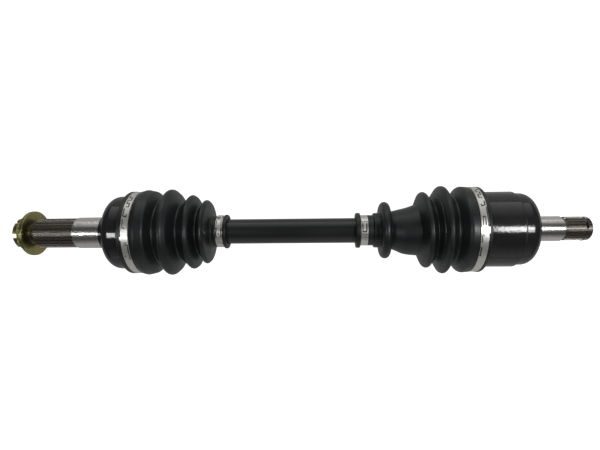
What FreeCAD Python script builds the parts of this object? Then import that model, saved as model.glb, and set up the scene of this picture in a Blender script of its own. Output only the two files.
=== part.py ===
import FreeCAD, Part
import math
import os
import Sketcher

# A CV half-shaft (drive axle) lying along X, its wheel end at -X and its gearbox end at +X.
# The origin is on the shaft's axis at the shoulder where the hub bearing's journal meets the
# collar of the outer joint. All lengths are in millimetres.

doc = FreeCAD.newDocument("cv_axle")
sheet = doc.addObject("Spreadsheet::Sheet", "Dimensions")


class Size:
    """A length that knows its value and the spreadsheet formula that it comes from."""

    def __init__(self, value, formula):
        self.value = float(value)
        self.formula = formula

    def __add__(self, other):
        other = as_size(other)
        return Size(self.value + other.value, f"({self.formula} + {other.formula})")

    def __sub__(self, other):
        other = as_size(other)
        return Size(self.value - other.value, f"({self.formula} - {other.formula})")

    def __mul__(self, other):
        other = as_size(other)
        return Size(self.value * other.value, f"({self.formula} * {other.formula})")

    def __truediv__(self, other):
        other = as_size(other)
        return Size(self.value / other.value, f"({self.formula} / {other.formula})")

    def __neg__(self):
        return Size(-self.value, f"(0 - {self.formula})")


def as_size(number):
    return number if isinstance(number, Size) else Size(number, repr(float(number)))


def size(alias, value):
    """Adds one driving dimension to the spreadsheet."""
    size.row += 1
    cell = f"A{size.row}"
    sheet.set(cell, str(value))
    sheet.setAlias(cell, alias)
    return Size(value, "Dimensions." + alias)


size.row = 0

# ---- Driving dimensions ------------------------------------------------------------------

bar_radius = size("bar_radius", 11.0)
bar_neck_radius = size("bar_neck_radius", 10.0)
race_spline_radius = size("race_spline_radius", 10.4)
tooth_depth = size("tooth_depth", 0.8)

# Wheel side
thread_radius = size("thread_radius", 10.0)
thread_end_x = size("thread_end_x", -78.0)
thread_relief_radius = size("thread_relief_radius", 9.2)
hub_spline_start_x = size("hub_spline_start_x", -60.7)
hub_spline_end_x = size("hub_spline_end_x", -25.0)
hub_spline_radius = size("hub_spline_radius", 13.35)
hub_spline_teeth = size("hub_spline_teeth", 26)
hub_journal_radius = size("hub_journal_radius", 14.0)
hub_journal_start_x = size("hub_journal_start_x", -23.5)
collar_radius = size("collar_radius", 16.0)
collar_width = size("collar_width", 4.6)
bell_radius = size("bell_radius", 32.7)
bell_rise = size("bell_rise", 6.0)
bell_mouth_x = size("bell_mouth_x", 41.0)
outer_centre_x = size("outer_centre_x", 28.0)
bell_bore_radius = size("bell_bore_radius", 25.8)
washer_radius = size("washer_radius", 20.2)
washer_thickness = size("washer_thickness", 3.0)
nut_across_flats = size("nut_across_flats", 30.0)
nut_hex_height = size("nut_hex_height", 5.4)
nut_crown_height = size("nut_crown_height", 6.0)
nut_crown_radius = size("nut_crown_radius", 14.0)
nut_slot_width = size("nut_slot_width", 4.0)
nut_turn = size("nut_turn", 10.0)

# Ball sets
ball_radius = size("ball_radius", 7.0)
outer_pitch_radius = size("outer_pitch_radius", 22.5)
outer_track_radius = size("outer_track_radius", 7.65)
outer_race_radius = size("outer_race_radius", 19.8)
cage_outer_radius = size("cage_outer_radius", 25.4)
cage_inner_radius = size("cage_inner_radius", 20.2)
cage_half_width = size("cage_half_width", 11.5)
window_width = size("window_width", 14.2)
window_length = size("window_length", 17.0)
window_corner = size("window_corner", 3.0)
inner_pitch_radius = size("inner_pitch_radius", 22.3)
inner_track_radius = size("inner_track_radius", 7.4)
inner_race_radius = size("inner_race_radius", 19.5)
inner_cage_inner_radius = size("inner_cage_inner_radius", 19.8)
inner_cage_outer_radius = size("inner_cage_outer_radius", 25.6)
race_half_width = size("race_half_width", 10.5)

# Gearbox side
inner_centre_x = size("inner_centre_x", 340.0)
housing_mouth_x = size("housing_mouth_x", 318.0)
housing_radius = size("housing_radius", 32.6)
housing_step_x = size("housing_step_x", 359.6)
housing_end_radius = size("housing_end_radius", 31.05)
housing_end_x = size("housing_end_x", 374.9)
housing_bore_radius = size("housing_bore_radius", 26.0)
housing_bore_end_x = size("housing_bore_end_x", 367.0)
diff_journal_radius = size("diff_journal_radius", 10.8)
diff_journal_end_x = size("diff_journal_end_x", 401.5)
diff_spline_radius = size("diff_spline_radius", 10.2)
diff_spline_start_x = size("diff_spline_start_x", 404.0)
diff_spline_teeth = size("diff_spline_teeth", 22)
stub_end_x = size("stub_end_x", 424.5)
circlip_wire_radius = size("circlip_wire_radius", 0.8)
circlip_groove_x = size("circlip_groove_x", 419.8)
circlip_drop = size("circlip_drop", 0.4)

# Boots and clamps
boot_wall = size("boot_wall", 2.4)
clamp_thickness = size("clamp_thickness", 0.6)
outer_boot_start_x = size("outer_boot_start_x", 26.5)
outer_large_clamp_x = size("outer_large_clamp_x", 30.8)
outer_small_clamp_x = size("outer_small_clamp_x", 103.8)
inner_boot_start_x = size("inner_boot_start_x", 226.2)
inner_small_clamp_x = size("inner_small_clamp_x", 230.3)
inner_large_clamp_x = size("inner_large_clamp_x", 322.1)
large_clamp_width = size("large_clamp_width", 6.2)
small_clamp_width = size("small_clamp_width", 6.0)
boot_collar_radius = size("boot_collar_radius", 36.2)
boot_small_radius = size("boot_small_radius", 13.6)
inner_boot_small_radius = size("inner_boot_small_radius", 12.9)
large_hook_rise = size("large_hook_rise", 0.6)
small_hook_rise = size("small_hook_rise", 0.3)

doc.recompute()

# ---- Sketching and feature helpers -------------------------------------------------------


def make_body(name, station=None):
    """A PartDesign body whose own origin stands on the axis at the given station along X."""
    body = doc.addObject("PartDesign::Body", name)
    body.Label = name
    if station is not None:
        body.Placement.Base.x = station.value
        body.setExpression("Placement.Base.x", station.formula)
    return body


def origin_feature(body, role):
    return [feature for feature in body.Origin.OriginFeatures if feature.Role == role][0]


def make_sketch(body, name, plane_role):
    sketch = body.newObject("Sketcher::SketchObject", name)
    sketch.AttachmentSupport = [(origin_feature(body, plane_role), "")]
    sketch.MapMode = "FlatFace"
    return sketch


def set_size(sketch, constraint, length):
    index = sketch.addConstraint(constraint)
    sketch.setExpression(f"Constraints[{index}]", length.formula)


def fix_point(sketch, geometry, vertex, across, up):
    """Dimensions a sketch point from the sketch's origin."""
    for kind, axis, length in (("DistanceX", -2, across), ("DistanceY", -1, up)):
        if abs(length.value) < 1e-9:
            sketch.addConstraint(Sketcher.Constraint("PointOnObject", geometry, vertex, axis))
        else:
            constraint = Sketcher.Constraint(kind, -1, 1, geometry, vertex, length.value)
            set_size(sketch, constraint, length)


def rounded_corner(before, corner, after, radius):
    """The arc that rounds a corner, its two ends and whether it runs anticlockwise."""
    to_before = (before - corner).normalize()
    to_after = (after - corner).normalize()
    half_angle = to_before.getAngle(to_after) / 2
    first = corner + to_before * (radius / math.tan(half_angle))
    last = corner + to_after * (radius / math.tan(half_angle))
    centre = corner + (to_before + to_after).normalize() * (radius / math.sin(half_angle))
    first_angle = math.atan2(first.y - centre.y, first.x - centre.x)
    last_angle = math.atan2(last.y - centre.y, last.x - centre.x)
    anticlockwise = (last_angle - first_angle) % (2 * math.pi) < math.pi
    span = (first_angle, last_angle) if anticlockwise else (last_angle, first_angle)
    arc = Part.ArcOfCircle(Part.Circle(centre, FreeCAD.Vector(0, 0, 1), radius), *span)
    return arc, first, last, anticlockwise


def outline(body, name, corners, plane_role="XZ_Plane"):
    """A closed, fully constrained outline. A corner is (across, up) or (across, up, rounding)."""
    sketch = make_sketch(body, name, plane_role)
    sizes = [[as_size(number) for number in corner] for corner in corners]
    points = [FreeCAD.Vector(item[0].value, item[1].value, 0) for item in sizes]
    count = len(points)
    starts = list(points)
    ends = list(points)
    arcs = {}
    for i, item in enumerate(sizes):
        if len(item) > 2:
            nearby = (points[i - 1], points[i], points[(i + 1) % count])
            arc, ends[i], starts[i], anticlockwise = rounded_corner(*nearby, item[2].value)
            arcs[i] = (arc, anticlockwise)
    lines = []
    for i in range(count):
        line = Part.LineSegment(starts[i], ends[(i + 1) % count])
        lines.append(sketch.addGeometry(line, False))
    for i, item in enumerate(sizes):
        before, after = lines[i - 1], lines[i]
        if i not in arcs:
            sketch.addConstraint(Sketcher.Constraint("Coincident", before, 2, after, 1))
            fix_point(sketch, after, 1, item[0], item[1])
            continue
        shape, anticlockwise = arcs[i]
        arc = sketch.addGeometry(shape, False)
        corner = sketch.addGeometry(Part.Point(points[i]), True)
        first, last = (1, 2) if anticlockwise else (2, 1)
        sketch.addConstraint(Sketcher.Constraint("Tangent", before, 2, arc, first))
        sketch.addConstraint(Sketcher.Constraint("Tangent", arc, last, after, 1))
        set_size(sketch, Sketcher.Constraint("Radius", arc, item[2].value), item[2])
        sketch.addConstraint(Sketcher.Constraint("PointOnObject", corner, 1, before))
        sketch.addConstraint(Sketcher.Constraint("PointOnObject", corner, 1, after))
        fix_point(sketch, corner, 1, item[0], item[1])
    return sketch


def circle_sketch(body, name, across, up, radius, plane_role="XZ_Plane"):
    sketch = make_sketch(body, name, plane_role)
    centre = FreeCAD.Vector(as_size(across).value, as_size(up).value, 0)
    shape = Part.Circle(centre, FreeCAD.Vector(0, 0, 1), as_size(radius).value)
    circle = sketch.addGeometry(shape, False)
    fix_point(sketch, circle, 3, as_size(across), as_size(up))
    set_size(sketch, Sketcher.Constraint("Radius", circle, as_size(radius).value), as_size(radius))
    return sketch


def offset_sketch(sketch, axis, length):
    """Moves a sketch off its plane, along the plane's own x, y or z axis."""
    sketch.setExpression(f"AttachmentOffset.Base.{axis}", length.formula)


def revolve(body, name, sketch, angle=360.0):
    """Turns a sketch about the shaft's axis."""
    feature = body.newObject("PartDesign::Revolution", name)
    feature.Profile = sketch
    feature.ReferenceAxis = (sketch, ["H_Axis"])
    feature.Angle = angle
    return feature


def turned_body(name, station, corners):
    body = make_body(name, station)
    revolve(body, name + "_turning", outline(body, name + "_outline", corners))
    return body


def cut_along(body, name, sketch, length, reverse=True):
    """Cuts a sketch's shape straight through the solid, and makes sure that it cut something."""
    doc.recompute()
    before = body.Shape.Volume
    pocket = body.newObject("PartDesign::Pocket", name)
    pocket.Profile = sketch
    pocket.Length = length.value
    pocket.setExpression("Length", length.formula)
    pocket.Reversed = reverse
    doc.recompute()
    if body.Shape.Volume >= before - 0.01:
        raise RuntimeError(name + " cuts nothing")
    return pocket


def repeat_round(body, feature, count):
    """Repeats a feature round the shaft's axis."""
    pattern = body.newObject("PartDesign::PolarPattern", feature.Name + "_pattern")
    pattern.Originals = [feature]
    pattern.Axis = (origin_feature(body, "X_Axis"), [""])
    pattern.Angle = 360
    pattern.Occurrences = int(as_size(count).value)
    pattern.setExpression("Occurrences", as_size(count).formula)
    body.Tip = pattern
    doc.recompute()


def cut_spline(body, name, start, length, root_radius, tip_radius, teeth):
    """Cuts involute-like tooth spaces, each a trapezium that widens outwards."""
    pitch = tip_radius * (2 * math.pi) / teeth
    root_half = pitch * 0.17
    tip_half = pitch * 0.36
    beyond = tip_radius + 0.5
    space = [(-root_half, root_radius), (root_half, root_radius), (tip_half, beyond), (-tip_half, beyond)]
    sketch = outline(body, name + "_space", space, "YZ_Plane")
    offset_sketch(sketch, "z", start)
    repeat_round(body, cut_along(body, name, sketch, length), teeth)


def cut_ball_tracks(body, name, pitch_radius, track_radius):
    """Cuts six curved tracks, each an arc of a torus about the joint's centre."""
    sketch = circle_sketch(body, name + "_section", 0, pitch_radius, track_radius, "YZ_Plane")
    doc.recompute()
    before = body.Shape.Volume
    groove = body.newObject("PartDesign::Groove", name)
    groove.Profile = sketch
    groove.ReferenceAxis = (sketch, ["H_Axis"])
    groove.Midplane = True
    groove.Angle = 88
    doc.recompute()
    if body.Shape.Volume >= before - 0.01:
        raise RuntimeError(name + " cuts nothing")
    repeat_round(body, groove, 6)


# ---- Wheel side --------------------------------------------------------------------------


def make_outer_bell():
    """The outer joint's bell, forged in one piece with the wheel stub."""
    name = "outer_bell_stub"
    groove_x = outer_boot_start_x - 1.4
    corners = [
        (thread_end_x, 0),
        (thread_end_x, thread_radius - 1.2),
        (thread_end_x + 1.2, thread_radius),
        (hub_spline_start_x - 5.2, thread_radius),
        (hub_spline_start_x - 4.6, thread_relief_radius),
        (hub_spline_start_x - 0.6, thread_relief_radius),
        (hub_spline_start_x, hub_spline_radius - 1),
        (hub_spline_start_x + 1, hub_spline_radius),
        (hub_spline_end_x, hub_spline_radius),
        (hub_journal_start_x - 0.5, hub_spline_radius),
        (hub_journal_start_x, hub_journal_radius),
        (0, hub_journal_radius),
        (0, collar_radius - 0.4),
        (0.4, collar_radius),
        (collar_width, collar_radius, 0.6),
        (collar_width + bell_rise, bell_radius, 9.5),
        (groove_x, bell_radius),
        (groove_x, bell_radius - 0.5),
        (groove_x + 0.8, bell_radius - 0.5),
        (groove_x + 0.8, bell_radius),
        (bell_mouth_x, bell_radius),
        (bell_mouth_x, bell_bore_radius + 0.3),
        (bell_mouth_x - 3, bell_bore_radius - 2),
        (outer_centre_x, bell_bore_radius - 2),
        (outer_centre_x, 0),
    ]
    body = make_body(name)
    revolve(body, name + "_turning", outline(body, name + "_outline", corners))
    doc.recompute()
    cavity = make_sketch(body, name + "_cavity_outline", "XZ_Plane")
    add_half_disc(cavity, outer_centre_x, bell_bore_radius)
    groove = body.newObject("PartDesign::Groove", name + "_cavity")
    groove.Profile = cavity
    groove.ReferenceAxis = (cavity, ["H_Axis"])
    groove.Angle = 360
    doc.recompute()
    section = circle_sketch(body, name + "_track_section", 0, outer_pitch_radius,
                            outer_track_radius, "YZ_Plane")
    offset_sketch(section, "z", outer_centre_x)
    track = body.newObject("PartDesign::Groove", name + "_track")
    track.Profile = section
    track.ReferenceAxis = (section, ["H_Axis"])
    track.Midplane = True
    track.Angle = 84
    doc.recompute()
    repeat_round(body, track, 6)
    spline_length = hub_spline_end_x - hub_spline_start_x + 2
    cut_spline(body, "hub_spline", hub_spline_start_x - 1, spline_length,
               hub_spline_radius - tooth_depth, hub_spline_radius, hub_spline_teeth)
    return body


def add_half_disc(sketch, centre_x, radius):
    """A half disc standing on the sketch's horizontal axis."""
    centre = FreeCAD.Vector(centre_x.value, 0, 0)
    circle = Part.Circle(centre, FreeCAD.Vector(0, 0, 1), radius.value)
    arc = sketch.addGeometry(Part.ArcOfCircle(circle, 0, math.pi), False)
    left = centre - FreeCAD.Vector(radius.value, 0, 0)
    right = centre + FreeCAD.Vector(radius.value, 0, 0)
    chord = sketch.addGeometry(Part.LineSegment(left, right), False)
    sketch.addConstraint(Sketcher.Constraint("Coincident", arc, 2, chord, 1))
    sketch.addConstraint(Sketcher.Constraint("Coincident", chord, 2, arc, 1))
    sketch.addConstraint(Sketcher.Constraint("PointOnObject", chord, 1, -1))
    sketch.addConstraint(Sketcher.Constraint("PointOnObject", arc, 3, chord))
    set_size(sketch, Sketcher.Constraint("Radius", arc, radius.value), radius)
    if abs(centre_x.value) < 1e-9:
        sketch.addConstraint(Sketcher.Constraint("PointOnObject", arc, 3, -2))
        sketch.addConstraint(Sketcher.Constraint("PointOnObject", chord, 2, -1))
    else:
        constraint = Sketcher.Constraint("DistanceX", -1, 1, arc, 3, centre_x.value)
        set_size(sketch, constraint, centre_x)
        sketch.addConstraint(Sketcher.Constraint("PointOnObject", chord, 2, -1))


def make_hub_washer():
    corners = [
        (0, thread_radius + 0.3),
        (0, washer_radius, 0.4),
        (washer_thickness, washer_radius, 0.4),
        (washer_thickness, thread_radius + 0.3),
    ]
    start = hub_spline_start_x - 4.9 - washer_thickness
    return turned_body("hub_washer", start, corners)


def make_hub_nut():
    """A castle nut: a hexagon with a slotted crown, screwed on the stub's thread."""
    name = "hub_nut"
    start = hub_spline_start_x - 4.9 - washer_thickness - nut_hex_height - nut_crown_height
    body = make_body(name, start)
    body.Placement.Rotation = FreeCAD.Rotation(FreeCAD.Vector(1, 0, 0), nut_turn.value)
    body.setExpression("Placement.Rotation.Angle", nut_turn.formula)
    height = nut_crown_height + nut_hex_height
    corner_radius = nut_across_flats / math.sqrt(3)
    corners = [
        (0, thread_radius + 1.4),
        (0, nut_crown_radius - 2),
        (2, nut_crown_radius),
        (nut_crown_height, nut_crown_radius),
        (nut_crown_height, nut_across_flats / 2),
        (nut_crown_height + 1.2, corner_radius),
        (height - 0.9, corner_radius),
        (height, nut_across_flats / 2 + 0.6),
        (height, thread_radius + 1),
        (height - 1, thread_radius),
        (1.4, thread_radius),
    ]
    revolve(body, name + "_turning", outline(body, name + "_outline", corners))
    flat_depth = corner_radius - nut_across_flats / 2 + 1
    flat = [
        (-corner_radius, nut_across_flats / 2),
        (corner_radius, nut_across_flats / 2),
        (corner_radius, nut_across_flats / 2 + flat_depth),
        (-corner_radius, nut_across_flats / 2 + flat_depth),
    ]
    flat_sketch = outline(body, name + "_flat_outline", flat, "YZ_Plane")
    offset_sketch(flat_sketch, "z", nut_crown_height)
    repeat_round(body, cut_along(body, name + "_flat", flat_sketch, nut_hex_height + 1), 6)
    slot = [
        (-(nut_slot_width / 2), thread_radius - 1),
        (nut_slot_width / 2, thread_radius - 1),
        (nut_slot_width / 2, nut_crown_radius + 1),
        (-(nut_slot_width / 2), nut_crown_radius + 1),
    ]
    slot_sketch = outline(body, name + "_slot_outline", slot, "YZ_Plane")
    repeat_round(body, cut_along(body, name + "_slot", slot_sketch, nut_crown_height - 0.6), 6)
    return body


# ---- Ball sets ---------------------------------------------------------------------------


def make_cage(name, centre_x, inner_radius, outer_radius):
    """A spherical ring with six windows, each holding one ball."""
    body = make_body(name, centre_x)
    corners = [
        (-cage_half_width, 0),
        (-cage_half_width, outer_radius),
        (cage_half_width, outer_radius),
        (cage_half_width, 0),
    ]
    revolve(body, name + "_blank", outline(body, name + "_outline", corners))
    doc.recompute()
    trim_outside_sphere(body, name + "_outside", outer_radius, outer_radius + 6)
    hollow = make_sketch(body, name + "_hollow_outline", "XZ_Plane")
    add_half_disc(hollow, as_size(0), inner_radius)
    groove = body.newObject("PartDesign::Groove", name + "_hollow")
    groove.Profile = hollow
    groove.ReferenceAxis = (hollow, ["H_Axis"])
    groove.Angle = 360
    doc.recompute()
    half_width = window_width / 2
    half_length = window_length / 2
    window = [
        (-half_width, -half_length, window_corner),
        (half_width, -half_length, window_corner),
        (half_width, half_length, window_corner),
        (-half_width, half_length, window_corner),
    ]
    sketch = outline(body, name + "_window_outline", window, "XY_Plane")
    repeat_round(body, cut_along(body, name + "_window", sketch, outer_radius + 2), 6)
    return body


def trim_outside_sphere(body, name, radius, reach):
    """Turns a blank down to a sphere about the body's own origin."""
    sketch = make_sketch(body, name + "_outline", "XZ_Plane")
    origin = FreeCAD.Vector(0, 0, 0)
    half = Part.ArcOfCircle(Part.Circle(origin, FreeCAD.Vector(0, 0, 1), radius.value), 0, math.pi)
    arc = sketch.addGeometry(half, False)
    corners = [(-radius, 0), (-reach, 0), (-reach, reach), (reach, reach), (reach, 0), (radius, 0)]
    points = [FreeCAD.Vector(as_size(a).value, as_size(b).value, 0) for a, b in corners]
    lines = [sketch.addGeometry(Part.LineSegment(points[i], points[i + 1]), False) for i in range(5)]
    sketch.addConstraint(Sketcher.Constraint("Coincident", arc, 3, -1, 1))
    set_size(sketch, Sketcher.Constraint("Radius", arc, radius.value), radius)
    sketch.addConstraint(Sketcher.Constraint("Coincident", arc, 2, lines[0], 1))
    sketch.addConstraint(Sketcher.Constraint("Coincident", arc, 1, lines[4], 2))
    sketch.addConstraint(Sketcher.Constraint("PointOnObject", lines[0], 1, -1))
    sketch.addConstraint(Sketcher.Constraint("PointOnObject", lines[4], 2, -1))
    for i in range(1, 5):
        sketch.addConstraint(Sketcher.Constraint("Coincident", lines[i - 1], 2, lines[i], 1))
        fix_point(sketch, lines[i], 1, as_size(corners[i][0]), as_size(corners[i][1]))
    groove = body.newObject("PartDesign::Groove", name)
    groove.Profile = sketch
    groove.ReferenceAxis = (sketch, ["H_Axis"])
    groove.Angle = 360
    doc.recompute()


def make_race(name, centre_x, radius):
    """An inner race: a ball with six tracks, on the splined end of the shaft."""
    body = make_body(name, centre_x)
    corners = [
        (-race_half_width, race_spline_radius),
        (-race_half_width, radius),
        (race_half_width, radius),
        (race_half_width, race_spline_radius),
    ]
    revolve(body, name + "_blank", outline(body, name + "_outline", corners))
    doc.recompute()
    trim_outside_sphere(body, name + "_outside", radius, radius + 6)
    return body


def make_outer_race():
    body = make_race("outer_inner_race", outer_centre_x, outer_race_radius)
    cut_ball_tracks(body, "outer_race_track", outer_pitch_radius, outer_track_radius)
    return body


def make_inner_race():
    body = make_race("inner_inner_race", inner_centre_x, inner_race_radius)
    section = circle_sketch(body, "inner_race_track_section", 0, inner_pitch_radius,
                            inner_track_radius, "YZ_Plane")
    offset_sketch(section, "z", -(race_half_width + 1))
    track = cut_along(body, "inner_race_track", section, race_half_width * 2 + 2)
    repeat_round(body, track, 6)
    return body


def make_balls(prefix, centre_x, pitch_radius):
    """Six balls, the first straight above the axis."""
    for i in range(6):
        ball = doc.addObject("Part::Sphere", f"{prefix}_ball_{i + 1}")
        ball.Label = f"{prefix}_ball_{i + 1}"
        ball.setExpression("Radius", ball_radius.formula)
        turn = f"({i} * 60 deg)"
        ball.setExpression("Placement.Base.x", centre_x.formula)
        ball.setExpression("Placement.Base.y", f"0 - {pitch_radius.formula} * sin({turn})")
        ball.setExpression("Placement.Base.z", f"{pitch_radius.formula} * cos({turn})")
        sub_parts.append(ball)


def make_wire_ring(name, station, ring_radius, wire_radius, angle, drop=None):
    """A round-wire snap ring with a gap. drop moves it off the axis, towards -Y."""
    body = make_body(name, station)
    revolve(body, name + "_wire", circle_sketch(body, name + "_section", 0, ring_radius, wire_radius), angle)
    if drop is not None:
        body.Placement.Base.y = -drop.value
        body.setExpression("Placement.Base.y", f"0 - {drop.formula}")
    return body


# ---- Gearbox side ------------------------------------------------------------------------


def make_inner_housing():
    """The plunging joint's cup, forged in one piece with the gearbox stub."""
    name = "inner_housing_stub"
    journal_edge = diff_journal_end_x - 0.8
    groove_x = circlip_groove_x - inner_centre_x
    groove_half = circlip_wire_radius + 0.05
    groove_floor = diff_spline_radius - circlip_wire_radius * 2 - circlip_drop - 0.1
    ring_x = housing_mouth_x + 3 - inner_centre_x
    corners = [
        (housing_mouth_x - inner_centre_x, housing_bore_radius + 1),
        (housing_mouth_x - inner_centre_x, housing_radius - 0.8),
        (housing_mouth_x - inner_centre_x + 0.8, housing_radius),
        (housing_step_x - inner_centre_x - 0.6, housing_radius),
        (housing_step_x - inner_centre_x, housing_end_radius),
        (housing_end_x - inner_centre_x, housing_end_radius, 9),
        (housing_end_x - inner_centre_x, diff_journal_radius, 0.8),
        (journal_edge - inner_centre_x, diff_journal_radius),
        (diff_journal_end_x - inner_centre_x, diff_spline_radius - 0.7),
        (diff_spline_start_x - inner_centre_x - 0.7, diff_spline_radius - 0.7),
        (diff_spline_start_x - inner_centre_x, diff_spline_radius),
        (groove_x - groove_half, diff_spline_radius),
        (groove_x - groove_half, groove_floor),
        (groove_x + groove_half, groove_floor),
        (groove_x + groove_half, diff_spline_radius),
        (stub_end_x - inner_centre_x - 1, diff_spline_radius),
        (stub_end_x - inner_centre_x, diff_spline_radius - 1),
        (stub_end_x - inner_centre_x, 0),
        (housing_bore_end_x - inner_centre_x, 0),
        (housing_bore_end_x - inner_centre_x, housing_bore_radius, 2),
        (ring_x + 1.3, housing_bore_radius),
        (ring_x + 1.3, housing_bore_radius + 1.5),
        (ring_x - 1.3, housing_bore_radius + 1.5),
        (ring_x - 1.3, housing_bore_radius),
        (housing_mouth_x - inner_centre_x + 1, housing_bore_radius),
    ]
    body = make_body(name, inner_centre_x)
    revolve(body, name + "_turning", outline(body, name + "_outline", corners))
    section = circle_sketch(body, "housing_track_section", 0, inner_pitch_radius,
                            inner_track_radius, "YZ_Plane")
    offset_sketch(section, "z", housing_mouth_x - inner_centre_x - 1)
    track_length = housing_step_x - housing_mouth_x
    repeat_round(body, cut_along(body, "housing_track", section, track_length), 6)
    cut_spline(body, "diff_spline", diff_spline_start_x - inner_centre_x - 1,
               stub_end_x - diff_spline_start_x + 2, diff_spline_radius - tooth_depth,
               diff_spline_radius, diff_spline_teeth)
    return body


# ---- Shaft -------------------------------------------------------------------------------


def make_intermediate_shaft():
    """The bar between the joints: thinner inside each joint, splined under each race."""
    name = "intermediate_shaft"
    span = inner_centre_x - outer_centre_x
    end = race_half_width + 2.6
    groove = race_half_width + 1.0
    fit = race_spline_radius
    ring_floor = fit - 1.6
    left_groove = outer_small_clamp_x + small_clamp_width / 2 - outer_centre_x
    corners = [
        (-end, 0),
        (-end, fit - 0.6),
        (-end + 0.6, fit),
        (-groove - 0.9, fit),
        (-groove - 0.9, ring_floor),
        (-groove + 0.9, ring_floor),
        (-groove + 0.9, fit),
        (race_half_width, fit),
        (race_half_width + 0.4, bar_neck_radius),
        (left_groove - 30, bar_neck_radius),
        (left_groove - 20, bar_radius),
        (span - 46, bar_radius),
        (span - 36, bar_neck_radius),
        (span - race_half_width - 0.4, bar_neck_radius),
        (span - race_half_width, fit),
        (span + groove - 0.9, fit),
        (span + groove - 0.9, ring_floor),
        (span + groove + 0.9, ring_floor),
        (span + groove + 0.9, fit),
        (span + end - 0.6, fit),
        (span + end, fit - 0.6),
        (span + end, 0),
    ]
    return turned_body(name, outer_centre_x, corners)


# ---- Boots -------------------------------------------------------------------------------

# Each convolution is a crest and the valley after it: (x of crest, r of crest, x of valley,
# r of valley). The crests and valleys are rounded.
OUTER_CONVOLUTIONS = [
    (41.2, 38.4, 53.9, 29.0),
    (62.2, 39.6, 72.6, 26.6),
    (81.7, 33.8, 88.8, 22.8),
]
INNER_CONVOLUTIONS = [
    (285.4, 34.6, 292.4, 28.0),
    (300.2, 39.6, 308.6, 29.8),
]


def convolution_sizes(prefix, convolutions):
    """Puts the convolutions in the spreadsheet."""
    rows = []
    for i, (crest_x, crest_r, valley_x, valley_r) in enumerate(convolutions):
        rows.append((
            size(f"{prefix}_crest_x_{i + 1}", crest_x),
            size(f"{prefix}_crest_radius_{i + 1}", crest_r),
            size(f"{prefix}_valley_x_{i + 1}", valley_x),
            size(f"{prefix}_valley_radius_{i + 1}", valley_r),
        ))
    doc.recompute()
    return rows


def outside_folds(rows, start):
    """The rounded corners of the folds, from left to right."""
    corners = []
    for crest_x, crest_r, valley_x, valley_r in rows:
        corners.append((crest_x - start, crest_r, 2.6))
        corners.append((valley_x - start, valley_r, 1.6))
    return corners


def inside_folds(rows, start):
    """The sharp corners of the folds' inner wall, from right to left."""
    corners = []
    for crest_x, crest_r, valley_x, valley_r in rows:
        corners.append((crest_x - start, crest_r - boot_wall * 1.5))
        corners.append((valley_x - start, valley_r - boot_wall))
    return corners[::-1]


def make_outer_boot():
    """The wheel-side bellows: a collar on the bell, four falling folds and a collar on the bar."""
    rows = convolution_sizes("outer_boot", OUTER_CONVOLUTIONS)
    start = outer_boot_start_x
    clamp = outer_large_clamp_x - start
    small = outer_small_clamp_x - start
    bead = small + small_clamp_width + 0.4
    last_x = size("outer_boot_last_crest_x", 93.7) - start
    last_r = size("outer_boot_last_crest_radius", 29.9)
    doc.recompute()
    outside = [
        (0, bell_radius),
        (0, boot_collar_radius + 0.8),
        (clamp - 0.1, boot_collar_radius + 0.8),
        (clamp - 0.1, boot_collar_radius),
        (clamp + large_clamp_width + 0.1, boot_collar_radius),
    ]
    outside += outside_folds(rows, start)
    outside += [
        (last_x, last_r, 2.4),
        (small - 4.2, boot_small_radius),
        (small + small_clamp_width + 0.1, boot_small_radius),
        (bead, boot_small_radius + 1.3),
        (bead + 2.8, boot_small_radius + 1.3),
        (bead + 2.8, bar_radius),
    ]
    inside = [(bead - 11, bar_radius), (last_x, last_r - boot_wall * 1.5)]
    inside += inside_folds(rows, start)
    inside += [(bell_mouth_x - start + 0.4, bell_radius)]
    return turned_body("outer_boot", start, outside + inside)


def make_inner_boot():
    """The gearbox-side bellows: a collar on the bar, a small ring fold, a cone and three folds."""
    rows = convolution_sizes("inner_boot", INNER_CONVOLUTIONS)
    start = inner_boot_start_x
    clamp = inner_small_clamp_x - start
    ring_x = size("inner_boot_ring_x", 251.3) - start
    ring_radius = size("inner_boot_ring_radius", 24.9)
    neck_radius = size("inner_boot_neck_radius", 15.2)
    cone_start_x = size("inner_boot_cone_start_x", 256.8) - start
    cone_end_x = size("inner_boot_cone_end_x", 276.4) - start
    cone_end_radius = size("inner_boot_cone_end_radius", 22.2)
    last_x = size("inner_boot_last_crest_x", 318.2) - start
    large = inner_large_clamp_x - start
    doc.recompute()
    outside = [
        (0, bar_radius),
        (0, neck_radius + 0.3),
        (clamp - 0.3, neck_radius + 0.3),
        (clamp - 0.1, inner_boot_small_radius),
        (clamp + small_clamp_width + 0.9, inner_boot_small_radius),
        (clamp + small_clamp_width + 1.6, neck_radius),
        (ring_x - 5.2, neck_radius),
        (ring_x - 4.4, ring_radius, 3.2),
        (ring_x + 4.4, ring_radius, 3.2),
        (cone_start_x, neck_radius + 1.4),
        (cone_end_x, cone_end_radius),
    ]
    outside += outside_folds(rows, start)
    outside += [
        (last_x - 1, boot_collar_radius + 1.4, 2.0),
        (large - 0.1, boot_collar_radius + 0.6),
        (large - 0.1, boot_collar_radius),
        (large + large_clamp_width + 0.1, boot_collar_radius),
        (large + large_clamp_width + 0.1, boot_collar_radius + 0.9),
        (large + large_clamp_width + 3, boot_collar_radius + 0.9),
        (large + large_clamp_width + 3, housing_radius),
    ]
    inside = [(housing_mouth_x - start - 0.4, housing_radius)]
    inside += inside_folds(rows, start)
    inside += [
        (cone_end_x - 1.5, cone_end_radius - boot_wall * 1.3),
        (cone_start_x - 1, neck_radius - 1.4),
        (ring_x + 2, ring_radius - boot_wall),
        (ring_x - 2, ring_radius - boot_wall),
        (ring_x - 5, bar_radius),
    ]
    return turned_body("inner_boot", start, outside + inside)


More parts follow.
